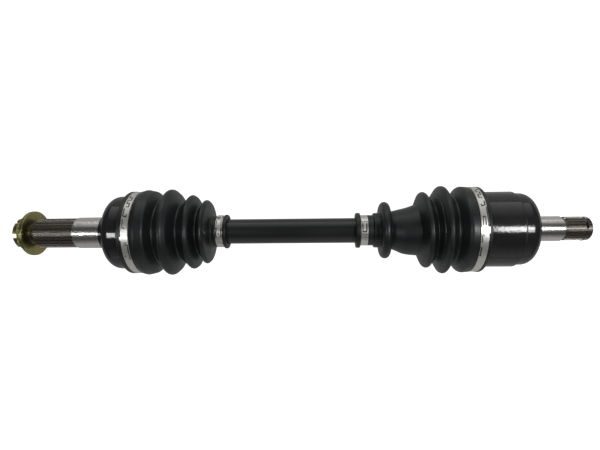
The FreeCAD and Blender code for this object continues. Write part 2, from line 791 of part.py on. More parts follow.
# ---- Clamps ------------------------------------------------------------------------------


def make_clamp(name, station, width, inner_radius, hook_rise):
    """A low-profile band clamp: a thin band, its tail lying over a quarter of it, and a hook."""
    body = make_body(name, station)
    outer_radius = inner_radius + clamp_thickness
    band = [(0, inner_radius), (0, outer_radius), (width, outer_radius), (width, inner_radius)]
    revolve(body, name + "_band", outline(body, name + "_band_outline", band))
    inset = 0.5
    tail = [
        (inset, outer_radius - 0.1),
        (inset, outer_radius + clamp_thickness),
        (width - inset, outer_radius + clamp_thickness),
        (width - inset, outer_radius - 0.1),
    ]
    tail_turning = revolve(body, name + "_tail", outline(body, name + "_tail_outline", tail), 75.0)
    tail_turning.Reversed = True
    hook = [(0.4, -1.6), (width - 0.4, -1.6), (width - 0.4, 1.6), (0.4, 1.6)]
    hook_sketch = outline(body, name + "_hook_outline", hook, "XY_Plane")
    offset_sketch(hook_sketch, "z", inner_radius + 0.3)
    pad = body.newObject("PartDesign::Pad", name + "_hook")
    pad.Profile = hook_sketch
    pad.setExpression("Length", (clamp_thickness * 2 + hook_rise - 0.3).formula)
    doc.recompute()
    return body


# ---- Assembly ----------------------------------------------------------------------------

sub_parts = []
sub_parts.append(make_outer_bell())
sub_parts.append(make_hub_washer())
sub_parts.append(make_hub_nut())
sub_parts.append(make_outer_race())
sub_parts.append(make_cage("outer_cage", outer_centre_x, cage_inner_radius, cage_outer_radius))
make_balls("outer", outer_centre_x, outer_pitch_radius)
sub_parts.append(make_outer_boot())
sub_parts.append(make_clamp("outer_boot_large_clamp", outer_large_clamp_x, large_clamp_width,
                            boot_collar_radius, large_hook_rise))
sub_parts.append(make_clamp("outer_boot_small_clamp", outer_small_clamp_x, small_clamp_width,
                            boot_small_radius, small_hook_rise))
sub_parts.append(make_intermediate_shaft())
race_clip_offset = race_half_width + 1.0
race_clip_radius = race_spline_radius - 0.8
sub_parts.append(make_wire_ring("outer_race_circlip", outer_centre_x - race_clip_offset,
                                race_clip_radius, circlip_wire_radius, 330.0))
sub_parts.append(make_wire_ring("inner_race_circlip", inner_centre_x + race_clip_offset,
                                race_clip_radius, circlip_wire_radius, 330.0))
sub_parts.append(make_inner_housing())
sub_parts.append(make_wire_ring("inner_retaining_ring", housing_mouth_x + 3,
                                housing_bore_radius + 0.2, as_size(1.2), 345.0))
sub_parts.append(make_inner_race())
sub_parts.append(make_cage("inner_cage", inner_centre_x, inner_cage_inner_radius,
                           inner_cage_outer_radius))
make_balls("inner", inner_centre_x, inner_pitch_radius)
sub_parts.append(make_wire_ring("inner_stub_circlip", circlip_groove_x,
                                diff_spline_radius - circlip_wire_radius, circlip_wire_radius,
                                325.0, circlip_drop))
sub_parts.append(make_inner_boot())
sub_parts.append(make_clamp("inner_boot_small_clamp", inner_small_clamp_x, small_clamp_width,
                            inner_boot_small_radius, small_hook_rise))
sub_parts.append(make_clamp("inner_boot_large_clamp", inner_large_clamp_x, large_clamp_width,
                            boot_collar_radius, large_hook_rise))

doc.recompute()

# ---- Checks and files --------------------------------------------------------------------

for item in doc.Objects:
    if "Invalid" in item.State or "Error" in item.State:
        raise RuntimeError(f"{item.Name} failed: {item.State}")
for part in sub_parts:
    if part.Shape.isNull() or not part.Shape.isValid():
        raise RuntimeError(part.Label + " has no valid shape")
    if len(part.Shape.Solids) != 1:
        raise RuntimeError(f"{part.Label} has {len(part.Shape.Solids)} solids")

os.makedirs("parts", exist_ok=True)
for part in sub_parts:
    part.Shape.exportStep(f"parts/{part.Label}.step")
    box = part.Shape.BoundBox
    print(f"{part.Label}: volume {part.Shape.Volume:.0f}, x {box.XMin:.2f} to {box.XMax:.2f},"
          f" top {box.ZMax:.2f}")
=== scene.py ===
import math

import bmesh
import bpy
from mathutils import Matrix, Vector


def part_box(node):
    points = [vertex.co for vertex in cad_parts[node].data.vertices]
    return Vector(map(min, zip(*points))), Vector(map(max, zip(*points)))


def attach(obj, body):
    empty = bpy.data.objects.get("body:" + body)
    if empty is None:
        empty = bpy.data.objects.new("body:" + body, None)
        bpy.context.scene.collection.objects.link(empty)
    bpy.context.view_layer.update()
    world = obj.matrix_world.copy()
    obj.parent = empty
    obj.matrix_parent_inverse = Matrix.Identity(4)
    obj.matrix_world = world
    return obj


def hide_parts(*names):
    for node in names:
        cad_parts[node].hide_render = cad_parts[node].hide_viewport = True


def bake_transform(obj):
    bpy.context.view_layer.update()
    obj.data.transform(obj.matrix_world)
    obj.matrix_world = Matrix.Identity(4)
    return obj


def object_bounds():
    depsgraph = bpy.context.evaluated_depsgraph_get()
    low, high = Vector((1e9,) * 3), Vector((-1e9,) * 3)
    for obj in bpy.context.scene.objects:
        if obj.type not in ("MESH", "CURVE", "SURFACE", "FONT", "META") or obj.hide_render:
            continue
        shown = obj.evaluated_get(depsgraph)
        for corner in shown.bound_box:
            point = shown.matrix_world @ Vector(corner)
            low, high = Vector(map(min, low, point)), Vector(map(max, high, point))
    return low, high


# The looks of a CV axle. Its CAD frame has the shaft along X, the wheel end at -X and +Z up.
# Lengths below are in millimetres along the same axes, and mm() turns them into metres.

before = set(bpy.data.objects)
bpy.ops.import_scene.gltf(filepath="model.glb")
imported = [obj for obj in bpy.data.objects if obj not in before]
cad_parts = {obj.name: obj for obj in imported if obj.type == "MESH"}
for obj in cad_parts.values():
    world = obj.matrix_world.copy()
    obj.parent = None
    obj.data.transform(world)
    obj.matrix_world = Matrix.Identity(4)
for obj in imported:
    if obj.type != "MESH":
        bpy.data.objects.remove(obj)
cad_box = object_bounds()


def mm(length):
    return length / 1000.0


# ---- Camera, floor and lights ------------------------------------------------------------

CAMERA_X = 196.0
CAMERA_Y = 5.25
CAMERA_HEIGHT = 374.1
CAMERA_TURN = math.radians(2.88)
CAMERA_ROLL = math.radians(0.56)
FOCAL_LENGTH = 25.2
FLOOR_GLOW = 0.15
FLOOR_SIZE = 6.0
FLOOR_GAP = 0.2
SOFTBOX_HEIGHT = 1.05
ROOM_GLOW = 0.06


def add_camera():
    """The camera looks straight down on the axle, turned a little towards the wheel end."""
    data = bpy.data.cameras.new("camera")
    data.lens = FOCAL_LENGTH
    data.sensor_width = 36.0
    data.clip_start = 0.01
    camera = bpy.data.objects.new("camera", data)
    bpy.context.collection.objects.link(camera)
    turn = Matrix.Rotation(CAMERA_TURN, 4, "Y")
    roll = Matrix.Rotation(-CAMERA_ROLL, 4, "Z")
    place = Matrix.Translation((mm(CAMERA_X), mm(CAMERA_Y), mm(CAMERA_HEIGHT)))
    camera.matrix_world = place @ turn @ roll
    bpy.context.scene.camera = camera


def add_floor():
    bpy.ops.mesh.primitive_plane_add(size=FLOOR_SIZE)
    floor = bpy.context.object
    floor.name = "floor"
    floor.location = (mm(CAMERA_X), 0.0, cad_box[0][2] - mm(FLOOR_GAP))
    material = bpy.data.materials.new("floor_white")
    material.use_nodes = True
    tree = material.node_tree
    shader = tree.nodes["Principled BSDF"]
    shader.inputs["Base Color"].default_value = (0.5, 0.5, 0.5, 1.0)
    shader.inputs["Roughness"].default_value = 0.9
    shader.inputs["Emission Color"].default_value = (1.0, 1.0, 1.0, 1.0)
    seen = tree.nodes.new("ShaderNodeLightPath").outputs["Is Camera Ray"]
    glow = tree.nodes.new("ShaderNodeMapRange")
    glow.inputs["To Min"].default_value = FLOOR_GLOW
    glow.inputs["To Max"].default_value = 1.0
    tree.links.new(seen, glow.inputs["Value"])
    tree.links.new(glow.outputs["Result"], shader.inputs["Emission Strength"])
    floor.data.materials.append(material)


def add_area_light(name, place, target, size, power, color=(1.0, 1.0, 1.0)):
    data = bpy.data.lights.new(name, "AREA")
    data.shape = "RECTANGLE"
    data.size, data.size_y = size
    data.energy = power
    data.color = color
    light = bpy.data.objects.new(name, data)
    light.location = place
    direction = Vector(target) - Vector(place)
    light.rotation_euler = direction.to_track_quat("-Z", "Y").to_euler()
    bpy.context.collection.objects.link(light)
    return data


def fade_across(light, first, last):
    """The lamp's brightness falls from one long edge to the other."""
    light.use_nodes = True
    nodes = light.node_tree.nodes
    links = light.node_tree.links
    apart = nodes.new("ShaderNodeSeparateXYZ")
    links.new(nodes.new("ShaderNodeNewGeometry").outputs["Parametric"], apart.inputs["Vector"])
    fade = nodes.new("ShaderNodeMapRange")
    fade.inputs["To Min"].default_value = first
    fade.inputs["To Max"].default_value = last
    links.new(apart.outputs["Y"], fade.inputs["Value"])
    links.new(fade.outputs["Result"], nodes["Emission"].inputs["Strength"])


def add_lights():
    """A softbox to each side of the camera, a wide one from the back edge and a dim room."""
    middle = (mm(CAMERA_X), 0.0, 0.0)
    wheel_side = (mm(CAMERA_X) - 0.71, -0.12, SOFTBOX_HEIGHT)
    gearbox_side = (mm(CAMERA_X) + 0.65, 0.0, SOFTBOX_HEIGHT)
    add_area_light("softbox_wheel", wheel_side, middle, (0.28, 0.12), 2.1)
    add_area_light("softbox_gearbox", gearbox_side, middle, (0.26, 0.18), 4.9)
    back = add_area_light("back_light", (mm(CAMERA_X), 1.45, 0.75), middle, (2.4, 1.6), 21.0)
    fade_across(back, 0.8, 0.0)
    near = add_area_light("near_light", (mm(CAMERA_X), -1.5, 0.55), middle, (2.4, 1.2), 4.2)
    fade_across(near, 1.0, 0.0)
    world = bpy.data.worlds.new("studio")
    world.use_nodes = True
    background = world.node_tree.nodes["Background"]
    background.inputs["Color"].default_value = (1.0, 1.0, 1.0, 1.0)
    background.inputs["Strength"].default_value = ROOM_GLOW
    bpy.context.scene.world = world
    bpy.context.scene.view_settings.view_transform = "Standard"


# ---- Material helpers --------------------------------------------------------------------


class Material:
    """A node material with short calls for the nodes that the looks below share."""

    def __init__(self, name):
        self.data = bpy.data.materials.new(name)
        self.data.use_nodes = True
        self.tree = self.data.node_tree
        self.shader = self.tree.nodes["Principled BSDF"]
        self.place = self.node("ShaderNodeTexCoord").outputs["Object"]

    def node(self, kind, **settings):
        node = self.tree.nodes.new(kind)
        for key, value in settings.items():
            setattr(node, key, value)
        return node

    def link(self, output, target):
        self.tree.links.new(output, target)

    def set(self, **values):
        for key, value in values.items():
            self.shader.inputs[key.replace("_", " ")].default_value = value

    def stretched(self, scale):
        """The row frame's place, stretched by a factor along each axis."""
        mapping = self.node("ShaderNodeMapping")
        mapping.inputs["Scale"].default_value = scale
        self.link(self.place, mapping.inputs["Vector"])
        return mapping.outputs["Vector"]

    def noise(self, scale, detail=3.0, roughness=0.5, vector=None, distortion=0.0):
        node = self.node("ShaderNodeTexNoise")
        node.inputs["Scale"].default_value = scale
        node.inputs["Detail"].default_value = detail
        node.inputs["Roughness"].default_value = roughness
        node.inputs["Distortion"].default_value = distortion
        self.link(vector or self.place, node.inputs["Vector"])
        return node.outputs["Fac"]

    def ramp(self, value, stops, interpolation="LINEAR"):
        """stops are (position, color or grey)."""
        node = self.node("ShaderNodeValToRGB")
        node.color_ramp.interpolation = interpolation
        elements = node.color_ramp.elements
        while len(elements) < len(stops):
            elements.new(1.0)
        for element, (position, color) in zip(elements, stops):
            element.position = position
            grey = isinstance(color, (int, float))
            element.color = (color, color, color, 1.0) if grey else (*color, 1.0)
        self.link(value, node.inputs["Fac"])
        return node.outputs["Color"]

    def mix(self, factor, first, second, blend="MIX"):
        node = self.node("ShaderNodeMix", data_type="RGBA", blend_type=blend)
        for key, value in (("Factor", factor), ("A", first), ("B", second)):
            index = {"Factor": 0, "A": 6, "B": 7}[key]
            if isinstance(value, (int, float)):
                plain = value if index == 0 else (value, value, value, 1.0)
                node.inputs[index].default_value = plain
            elif isinstance(value, tuple):
                node.inputs[index].default_value = (*value, 1.0)
            else:
                self.link(value, node.inputs[index])
        return node.outputs[2]

    def math(self, operation, first, second):
        node = self.node("ShaderNodeMath", operation=operation)
        for socket, value in zip(node.inputs, (first, second)):
            if isinstance(value, (int, float)):
                socket.default_value = value
            else:
                self.link(value, socket)
        return node.outputs[0]

    def axis(self, name):
        node = self.node("ShaderNodeSeparateXYZ")
        self.link(self.place, node.inputs["Vector"])
        return node.outputs[name]

    def between(self, low, high, soft=0.15):
        """1 where the row frame's x, in mm, is between low and high, and 0 elsewhere."""
        x = self.axis("X")
        rise = self.edge(x, mm(low), mm(soft))
        fall = self.edge(x, mm(high), mm(soft))
        return self.math("SUBTRACT", rise, fall)

    def edge(self, value, place, soft):
        node = self.node("ShaderNodeMapRange")
        node.inputs["From Min"].default_value = place - soft
        node.inputs["From Max"].default_value = place + soft
        self.link(value, node.inputs["Value"])
        return node.outputs["Result"]

    def bump(self, height, strength, distance):
        node = self.node("ShaderNodeBump")
        node.inputs["Strength"].default_value = strength
        node.inputs["Distance"].default_value = distance
        self.link(height, node.inputs["Height"])
        self.link(node.outputs["Normal"], self.shader.inputs["Normal"])


PAINT_COLOR = (0.018, 0.0175, 0.019)
PAINT_ROUGHNESS = 0.12


def painted_forging(name, polished, splined, steel_color, step):
    """Black paint, thick at the step, with a polished journal and an oily spline left bare."""
    material = Material(name)
    journal = material.between(*polished)
    spline = material.between(*splined)
    bare = material.math("MAXIMUM", journal, spline)
    grime = material.noise(900.0, detail=4.0)
    spline_color = material.ramp(grime, [(0.3, (0.12, 0.108, 0.096)), (0.75, (0.25, 0.228, 0.205))])
    turned = material.noise(1.0, detail=2.0, vector=material.stretched((9000.0, 60.0, 60.0)))
    journal_color = material.ramp(turned, [(0.25, steel_color), (0.8, tuple(c * 1.25 for c in steel_color))])
    metal = material.mix(spline, journal_color, spline_color)
    dust = material.noise(55.0, detail=5.0, roughness=0.6)
    paint = material.ramp(dust, [(0.35, PAINT_COLOR), (0.8, tuple(c * 1.7 for c in PAINT_COLOR))])
    material.link(material.mix(bare, paint, metal), material.shader.inputs["Base Color"])
    material.link(bare, material.shader.inputs["Metallic"])
    peel = material.noise(420.0, detail=2.0)
    paint_gloss = material.ramp(dust, [(0.3, PAINT_ROUGHNESS - 0.04), (0.8, PAINT_ROUGHNESS + 0.08)])
    metal_gloss = material.mix(spline, 0.22, 0.36)
    painted_step = material.mix(material.between(*step), paint_gloss, 0.55)
    material.link(material.mix(bare, painted_step, metal_gloss), material.shader.inputs["Roughness"])
    material.set(Specular_IOR_Level=0.42)
    height = material.mix(bare, peel, turned)
    material.bump(height, 0.22, mm(0.25))
    return material.data


def satin_bar():
    material = Material("bar_black")
    smudge = material.noise(40.0, detail=4.0, vector=material.stretched((0.4, 1.0, 1.0)))
    color = material.ramp(smudge, [(0.3, (0.013, 0.0136, 0.0144)), (0.75, (0.022, 0.0228, 0.0238))])
    material.link(color, material.shader.inputs["Base Color"])
    gloss = material.ramp(smudge, [(0.3, 0.2), (0.75, 0.3)])
    material.link(gloss, material.shader.inputs["Roughness"])
    peel = material.noise(650.0, detail=2.0)
    material.bump(peel, 0.15, mm(0.2))
    return material.data


def boot_rubber(name="boot_rubber_black"):
    material = Material(name)
    blotch = material.noise(70.0, detail=4.0, roughness=0.6, distortion=0.6)
    color = material.ramp(blotch, [(0.3, (0.0030, 0.0034, 0.0038)), (0.75, (0.0062, 0.0068, 0.0072))])
    material.link(color, material.shader.inputs["Base Color"])
    gloss = material.ramp(blotch, [(0.3, 0.42), (0.75, 0.56)])
    material.link(gloss, material.shader.inputs["Roughness"])
    material.set(Specular_IOR_Level=0.5, Coat_Weight=0.3, Coat_Roughness=0.28)
    material.set(Specular_Tint=(0.93, 0.98, 1.0, 1.0))
    grain = material.noise(2600.0, detail=3.0)
    material.bump(grain, 0.25, mm(0.12))
    return material.data


def yellow_zinc():
    """Yellow chromate over zinc: olive gold, with faint green and pink clouds."""
    material = Material("yellow_zinc_plate")
    film = material.noise(70.0, detail=2.0, distortion=0.8)
    stops = [
        (0.30, (0.36, 0.31, 0.115)), (0.48, (0.44, 0.38, 0.155)),
        (0.60, (0.37, 0.37, 0.16)), (0.75, (0.45, 0.34, 0.14)),
    ]
    material.link(material.ramp(film, stops), material.shader.inputs["Base Color"])
    material.set(Metallic=1.0)
    wear = material.noise(260.0, detail=3.0)
    material.link(material.ramp(wear, [(0.3, 0.24), (0.8, 0.36)]), material.shader.inputs["Roughness"])
    material.bump(wear, 0.08, mm(0.1))
    return material.data


def steel(name, color, low, high, scratch=(400.0, 40.0, 40.0)):
    """Bare metal with fine scratches round the shaft."""
    material = Material(name)
    brushed = material.noise(1.0, detail=3.0, vector=material.stretched(tuple(v * 8 for v in scratch)))
    dark = tuple(c * 0.8 for c in color)
    material.link(material.ramp(brushed, [(0.25, dark), (0.8, color)]), material.shader.inputs["Base Color"])
    material.set(Metallic=1.0)
    material.link(material.ramp(brushed, [(0.25, low), (0.8, high)]), material.shader.inputs["Roughness"])
    material.bump(brushed, 0.08, mm(0.1))
    return material.data


# ---- Boots -------------------------------------------------------------------------------

ROUND_STEPS = 192
ARC_STEPS = 10


def rounded_line(corners):
    """A line through (x, r, rounding) corners, in mm, with each corner rounded by an arc."""
    line = []
    for i, (x, r, rounding) in enumerate(corners):
        corner = Vector((x, r))
        if not rounding:
            line.append(corner)
            continue
        before = Vector(corners[i - 1][:2]) - corner
        after = Vector(corners[(i + 1) % len(corners)][:2]) - corner
        half = before.angle(after) / 2
        reach = min(rounding / math.tan(half), 0.49 * before.length, 0.49 * after.length)
        radius = reach * math.tan(half)
        first = corner + before.normalized() * reach
        last = corner + after.normalized() * reach
        middle = (before.normalized() + after.normalized()).normalized()
        centre = corner + middle * (radius / math.sin(half))
        swing = (first - centre).angle_signed(last - centre)
        for step in range(ARC_STEPS + 1):
            turned = first - centre
            turned.rotate(Matrix.Rotation(-swing * step / ARC_STEPS, 2))
            line.append(centre + turned)
    return line


def divided(line, longest):
    """The same line with its long stretches divided."""
    points = [line[0]]
    for a, b in zip(line, line[1:]):
        count = max(1, math.ceil((b - a).length / longest))
        points += [a.lerp(b, (i + 1) / count) for i in range(count)]
    return points


def turned_mesh(name, line, shape=None):
    """Turns a closed line round the shaft. shape moves a point: (x, r, angle) to (x, r)."""
    vertices = []
    for step in range(ROUND_STEPS):
        angle = 2 * math.pi * step / ROUND_STEPS
        for x, r in line:
            if shape:
                x, r = shape(x, r, angle)
            vertices.append((mm(x), mm(r) * math.cos(angle), mm(r) * math.sin(angle)))
    count = len(line)
    faces = []
    for step in range(ROUND_STEPS):
        following = (step + 1) % ROUND_STEPS
        for i in range(count):
            j = (i + 1) % count
            faces.append((step * count + i, step * count + j, following * count + j, following * count + i))
    mesh = bpy.data.meshes.new(name)
    mesh.from_pydata(vertices, [], faces)
    return finished_piece(name, mesh)


def finished_piece(name, mesh):
    """An object with its faces turned outwards and smooth."""
    solid = bmesh.new()
    solid.from_mesh(mesh)
    bmesh.ops.remove_doubles(solid, verts=solid.verts, dist=mm(0.001))
    bmesh.ops.recalc_face_normals(solid, faces=solid.faces)
    solid.to_mesh(mesh)
    solid.free()
    mesh.polygons.foreach_set("use_smooth", [True] * len(mesh.polygons))
    piece = bpy.data.objects.new(name, mesh)
    bpy.context.collection.objects.link(piece)
    return piece


OUTER_BOOT_OUTSIDE = [
    (26.5, 32.9, 0), (26.5, 37.0, 0.9), (30.6, 37.0, 0.5), (30.7, 36.0, 0.2), (37.1, 36.0, 0.2),
    (37.4, 37.2, 1.2), (41.6, 38.3, 3.4), (48.6, 36.7, 3.0), (53.9, 27.8, 1.3),
    (62.2, 40.0, 3.9), (67.6, 35.4, 2.0), (72.6, 25.0, 1.3),
    (81.7, 33.8, 2.9), (84.6, 31.6, 1.6), (88.5, 21.4, 1.2),
    (93.7, 29.5, 2.5), (96.6, 26.6, 1.6), (98.6, 15.4, 1.4), (100.2, 14.0, 0.6),
    (103.7, 14.0, 0), (103.7, 13.5, 0), (109.9, 13.5, 0), (110.1, 15.2, 0.9), (113.0, 15.2, 0.9),
]
OUTER_BOOT_INSIDE = [
    (113.0, 11.15, 0), (100.0, 11.15, 0.6), (96.4, 15.6, 1.0),
    (93.4, 25.2, 1.8), (88.6, 18.8, 2.4), (81.6, 29.9, 2.0), (72.8, 22.2, 2.6), (66.8, 32.0, 2.0),
    (62.0, 36.2, 2.6), (53.8, 25.0, 2.8), (47.4, 33.8, 2.0), (42.8, 34.9, 2.0), (42.0, 32.9, 0),
]


def outer_boot_shape(x, r, angle):
    """The folds lean a little: near the bar, their upper side is nearer the wheel."""
    lean = 0.5 * smooth_step((x - 72.0) / 12.0) * (1.0 - smooth_step((x - 90.0) / 6.0))
    return x - lean * math.cos(angle), r


def smooth_step(value):
    value = min(1.0, max(0.0, value))
    return value * value * (3 - 2 * value)


# The inner boot is two pieces that meet on the side of a fold, at these points.
SEAM_OUTSIDE = (296.0, 33.26, 0)
SEAM_INSIDE = (296.0, 31.1, 0)

SMALL_FOLD_OUTSIDE = [
    (226.2, 11.15, 0), (226.2, 15.5, 0.9), (229.9, 15.5, 0.9), (230.2, 12.8, 0), (236.4, 12.8, 0),
    (236.5, 13.4, 0.2), (241.2, 13.4, 0.3), (241.9, 15.2, 0.7), (246.8, 15.4, 0.9),
    (247.6, 24.9, 4.0), (255.0, 24.9, 4.0), (255.8, 16.2, 0.7), (266.0, 19.4, 8.0), (275.6, 21.7, 2.2),
    (279.4, 22.4, 1.0), (285.4, 35.8, 2.8), (292.2, 27.0, 1.2), (293.0, 27.9, 0),
    SEAM_OUTSIDE,
]
SMALL_FOLD_INSIDE = [
    SEAM_INSIDE, (292.4, 25.4, 1.8), (285.6, 31.8, 2.0), (280.8, 20.6, 1.6), (276.0, 19.0, 2.0),
    (258.5, 13.9, 1.4), (253.0, 22.2, 2.0), (249.6, 22.2, 2.0), (245.4, 12.6, 1.0), (244.0, 11.15, 0),
]
LARGE_FOLD_OUTSIDE = [
    SEAM_OUTSIDE, (300.0, 40.4, 3.9), (308.2, 28.7, 1.2),
    (314.8, 37.6, 4.2), (321.8, 37.0, 1.0), (322.0, 36.2, 0.2), (328.4, 36.2, 0.2), (328.5, 37.1, 0.5),
    (331.3, 37.1, 0.9), (331.3, 32.75, 0),
]
LARGE_FOLD_INSIDE = [
    (317.0, 32.75, 0), (313.8, 34.2, 1.6), (308.2, 26.0, 2.6), (300.0, 36.8, 2.6), SEAM_INSIDE,
]


def inner_boot_shape(x, r, angle):
    """The cone hangs fuller on its lower side, and the first large fold leans."""
    up = math.cos(angle)
    slope = 1.9 if up > 0 else 0.6
    lean = slope * smooth_step((x - 274.0) / 8.0) * (1.0 - smooth_step((x - 290.0) / 14.0))
    bulge = math.exp(-((x - 268.0) / 8.0) ** 2)
    return x - lean * up, r + bulge * (1.3 * max(0.0, -up) - 0.9 * max(0.0, up))


def make_boots(rubber):
    outer_line = divided(rounded_line(OUTER_BOOT_OUTSIDE + OUTER_BOOT_INSIDE), 1.6)
    outer = turned_mesh("outer_boot_folds", outer_line, outer_boot_shape)
    outer.data.materials.append(rubber)
    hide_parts("outer_boot")
    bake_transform(outer)
    bending_line = divided(rounded_line(SMALL_FOLD_OUTSIDE + SMALL_FOLD_INSIDE), 1.6)
    bending = turned_mesh("inner_boot_bending_folds", bending_line, inner_boot_shape)
    bending.data.materials.append(rubber)
    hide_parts("inner_boot")
    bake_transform(bending)
    sliding_line = divided(rounded_line(LARGE_FOLD_OUTSIDE + LARGE_FOLD_INSIDE), 1.2)
    sliding = turned_mesh("inner_boot_sliding_folds", sliding_line, inner_boot_shape)
    sliding.data.materials.append(rubber)
    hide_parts("inner_boot")
    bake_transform(sliding)


# ---- Clamps ------------------------------------------------------------------------------

BAND_THICKNESS = 0.55
BAND_STEP = 1.3
CUT_ROUNDING = 0.22
SLOT_GAIN = 1.25


def box_loop(start, end, low, high, rounding=CUT_ROUNDING):
    """A rectangle from start to end along the band and from low to high across it."""
    rounding = min(rounding, 0.45 * (end - start), 0.45 * (high - low))
    return [(start, low, rounding), (end, low, rounding), (end, high, rounding), (start, high, rounding)]


def flat_plate(name, loops, base, thickness):
    """A plate cut from the first loop, with the others as holes. base is its underside's height."""
    curve = bpy.data.curves.new(name, "CURVE")
    curve.dimensions = "2D"
    curve.fill_mode = "BOTH"
    curve.extrude = thickness / 2
    for loop in loops:
        points = rounded_line(loop)
        spline = curve.splines.new("POLY")
        spline.points.add(len(points) - 1)
        for point, place in zip(spline.points, points):
            point.co = (place[0], place[1], 0.0, 1.0)
        spline.use_cyclic_u = True
    carrier = bpy.data.objects.new(name, curve)
    bpy.context.collection.objects.link(carrier)
    bpy.context.view_layer.update()
    mesh = bpy.data.meshes.new_from_object(carrier.evaluated_get(bpy.context.evaluated_depsgraph_get()))
    bpy.data.objects.remove(carrier)
    plate = bmesh.new()
    plate.from_mesh(mesh)
    bmesh.ops.remove_doubles(plate, verts=plate.verts, dist=0.001)
    bmesh.ops.translate(plate, verts=plate.verts, vec=(0, 0, base + thickness / 2))
    return plate


def bend_round(plate, radius, station):
    """Bends a flat plate round the shaft: along becomes the angle from straight up, towards -Y."""
    start = min(vertex.co.x for vertex in plate.verts)
    end = max(vertex.co.x for vertex in plate.verts)
    step = BAND_STEP * min(1.0, radius / 24.0)
    for i in range(math.ceil(start / step), math.floor(end / step) + 1):
        geometry = plate.verts[:] + plate.edges[:] + plate.faces[:]
        cut = (i * step, 0, 0)
        bmesh.ops.bisect_plane(plate, geom=geometry, dist=0.0001, plane_co=cut, plane_no=(1, 0, 0))
    for vertex in plate.verts:
        along, across, height = vertex.co
        angle = along / radius
        reach = mm(radius + height)
        vertex.co = (mm(station + across), -reach * math.sin(angle), reach * math.cos(angle))


def join_plates(name, plates):
    mesh = bpy.data.meshes.new(name)
    whole = bmesh.new()
    for plate in plates:
        part = bpy.data.meshes.new(name + "_part")
        plate.to_mesh(part)
        plate.free()
        whole.from_mesh(part)
        bpy.data.meshes.remove(part)
    bmesh.ops.remove_doubles(whole, verts=whole.verts, dist=mm(0.002))
    bmesh.ops.recalc_face_normals(whole, faces=whole.faces)
    whole.to_mesh(mesh)
    whole.free()
    piece = bpy.data.objects.new(name, mesh)
    bpy.context.collection.objects.link(piece)
    bevel = piece.modifiers.new("edge_break", "BEVEL")
    bevel.width = mm(0.07)
    bevel.segments = 1
    bevel.limit_method = "ANGLE"
    bevel.angle_limit = math.radians(50)
    return piece


def mirrored(loop, width):
    """The same loop with left and right exchanged."""
    return [(along, width - across, rounding) for along, across, rounding in loop][::-1]


def make_clamp(name, node, body, station, radius, width, layers, finishes, flip=False):
    """layers are (height, thickness, outer loop, holes, finish) above the given radius."""
    half = math.pi * radius
    plates = []
    for base, thickness, outer, holes, finish in layers:
        loops = [outer or box_loop(-half, half, 0.0, width, 0.0)] + holes
        if flip:
            loops = [mirrored(loop, width) for loop in loops]
        plate = flat_plate(name, loops, base, thickness)
        bend_round(plate, radius, station)
        for face in plate.faces:
            face.material_index = finish
        plates.append(plate)
    piece = join_plates(name, plates)
    for look in finishes:
        piece.data.materials.append(look)
    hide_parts(node)
    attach(piece, body)


def stroke(points, thickness):
    """A slot of even thickness along a path of (along, across) points."""
    path = [Vector(point) for point in points]
    sides = ([], [])
    for i, point in enumerate(path):
        before = (point - path[i - 1]).normalized() if i else None
        after = (path[i + 1] - point).normalized() if i + 1 < len(path) else None
        heading = ((before or after) + (after or before)).normalized()
        square = Vector((-heading.y, heading.x))
        mitre = 1.0 / max(0.5, abs(square.dot(Vector((-(after or before).y, (after or before).x)))))
        for side, sign in zip(sides, (1, -1)):
            shifted = point + square * (sign * SLOT_GAIN * thickness / 2 * mitre)
            side.append((shifted.x, shifted.y, 0.0))
    return sides[0] + sides[1][::-1]


def locking_steps(start, pitch, count, width):
    """The stepped slot along the edges of the windows that lock the band."""
    points = [(start, 0.28 * width)]
    for i in range(count):
        across = (0.28, 0.66)[i % 2] * width
        other = (0.66, 0.28)[i % 2] * width
        points += [(start + (i + 1) * pitch, across), (start + (i + 1) * pitch, other)]
    return stroke(points, 0.75)


def hook_loop(start, width, reach, tip):
    """The hook: a bar a little wider than the band, then a stem that narrows to its tip."""
    return [
        (start, -0.45, 0.4), (start + reach, -0.45, 0.5), (start + reach + 0.9, 0.28 * width, 0.5),
        (start + reach + tip, 0.36 * width, 0.6), (start + reach + tip, 0.62 * width, 0.6),
        (start + reach + 0.9, 0.72 * width, 0.5), (start + reach, width + 0.45, 0.5),
        (start, width + 0.45, 0.4),
    ]


def large_clamp_layers(width, hook_start):
    """The band with its locking slot, and the tail over it that ends in the hook."""
    steps = locking_steps(hook_start - 40.6, 3.7, 4, width)
    claw = stroke([
        (-21.4, 0.2 * width), (-14.2, 0.2 * width), (-13.4, 0.62 * width), (-15.6, 0.7 * width),
    ], 0.8)
    seam = stroke([(-11.6, 0.24 * width), (-4.4, 0.24 * width), (-3.6, 0.62 * width)], 0.6)
    rim = stroke([(10.2, 0.62 * width), (10.4, 0.84 * width), (23.2, 0.84 * width), (23.0, 0.6 * width)], 0.7)
    mark = box_loop(19.5, 21.2, 0.16 * width, 0.34 * width)
    tail = box_loop(hook_start - 49.0, hook_start + 0.6, 0.25, width - 0.25, 0.6)
    return [
        (0.0, BAND_THICKNESS, None, [steps, claw, seam, rim, mark], 0),
        (BAND_THICKNESS + 0.02, 0.4, tail, [steps, claw, seam], 0),
        (BAND_THICKNESS + 0.05, 0.9, hook_loop(hook_start, width, 3.4, 4.4), [], 1),
    ]


